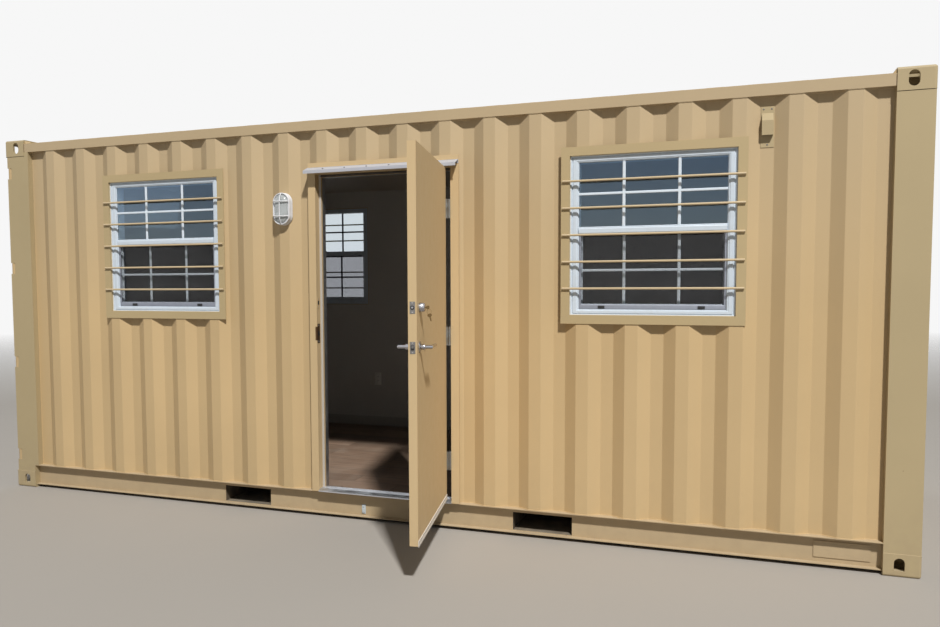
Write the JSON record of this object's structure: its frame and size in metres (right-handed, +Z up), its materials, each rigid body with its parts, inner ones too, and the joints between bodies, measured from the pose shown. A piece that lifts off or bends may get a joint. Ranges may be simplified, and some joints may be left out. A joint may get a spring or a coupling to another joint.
{
  "type": "shipping container site office",
  "caption": "Corrugated steel shipping container made into a site office, with a hinged personnel door, barred windows and closed cargo doors.",
  "frame": {"origin": "plan centre of the four bottom corner castings, on the level they stand on", "axes": "+X along the length to the closed end wall, -Y out of the long wall with the personnel door, +Z up"},
  "size_m": [6.058, 3.3738, 2.591],
  "materials": {
    "container_paint": "semi-gloss beige enamel over steel",
    "roof_paint": "weathered beige enamel",
    "base_steel": "dark protective coating",
    "seal_rubber": "black door seal",
    "deck_ply": "hardwood plywood",
    "floor_vinyl": "brown wood-look covering",
    "wall_board": "smooth pale wall board",
    "baseboard_vinyl": "matt vinyl",
    "outlet_plastic": "moulded plate",
    "window_vinyl": "white vinyl profile",
    "window_glass": "clear float glass",
    "door_paint": "beige enamel on a flush steel leaf",
    "stud_steel": "grey primer",
    "mill_aluminium": "mill finish",
    "hinge_steel": "satin",
    "lock_steel": "satin",
    "light_white": "white enamel",
    "light_glass": "ribbed glass"
  },
  "bodies": {
    "container": {"bottom_corner_castings": "container_paint", "top_corner_castings": "container_paint", "front_corner_posts": "container_paint", "rear_corner_posts": "container_paint", "top_side_rails": "container_paint", "bottom_side_rails": "container_paint", "front_end_rails": "container_paint", "cargo_end_rails": "container_paint", "front_wall_left": "container_paint", "front_wall_over_door": "container_paint", "front_wall_right": "container_paint", "back_wall": "container_paint", "end_wall": "container_paint", "roof_panel": "roof_paint", "cross_members": "base_steel", "fork_pockets": "container_paint", "floor_deck": "deck_ply", "floor_covering": "floor_vinyl", "lining_front_left": "wall_board", "lining_over_door": "wall_board", "lining_front_right": "wall_board", "lining_back": "wall_board", "lining_ends": "wall_board", "ceiling": "wall_board", "baseboards": "baseboard_vinyl", "wall_outlet": "outlet_plastic", "window_surrounds": "container_paint", "window_frames": "window_vinyl", "window_sashes": "window_vinyl", "window_glass": "window_glass", "window_bars": "container_paint", "door_jambs": "door_paint", "door_head": "door_paint", "door_studs": "stud_steel", "door_threshold": "mill_aluminium", "drip_cap": "mill_aluminium", "jamb_hinges": "hinge_steel", "cargo_doors": "container_paint", "cargo_door_seals": "seal_rubber", "lock_bars": "container_paint", "cargo_hinges": "container_paint", "light_base": "light_white", "light_lens": "light_glass", "light_guard": "light_white", "vent_cover": "container_paint"},
    "door": {"door_leaf": "door_paint", "door_sweep": "mill_aluminium", "leaf_hinges": "hinge_steel", "lock_trim": "lock_steel"},
    "lever": {"lever_set": "lock_steel"}
  },
  "joints": [
    {"name": "door_hinge", "type": "hinge", "parent": "container", "child": "door", "pos_m": [0.4795, -1.241, 1.206], "axis": [0, 0, 1], "range_deg": [-100.7, 14.3]},
    {"name": "lever_turn", "type": "hinge", "parent": "door", "child": "lever", "pos_m": [0.59465, -2.07258, 1.204], "axis": [-0.9826, -0.1857, 0], "range_deg": [0, 45], "stiffness_Nm_per_rad": 1, "springref_deg": -34.38}
  ]
}
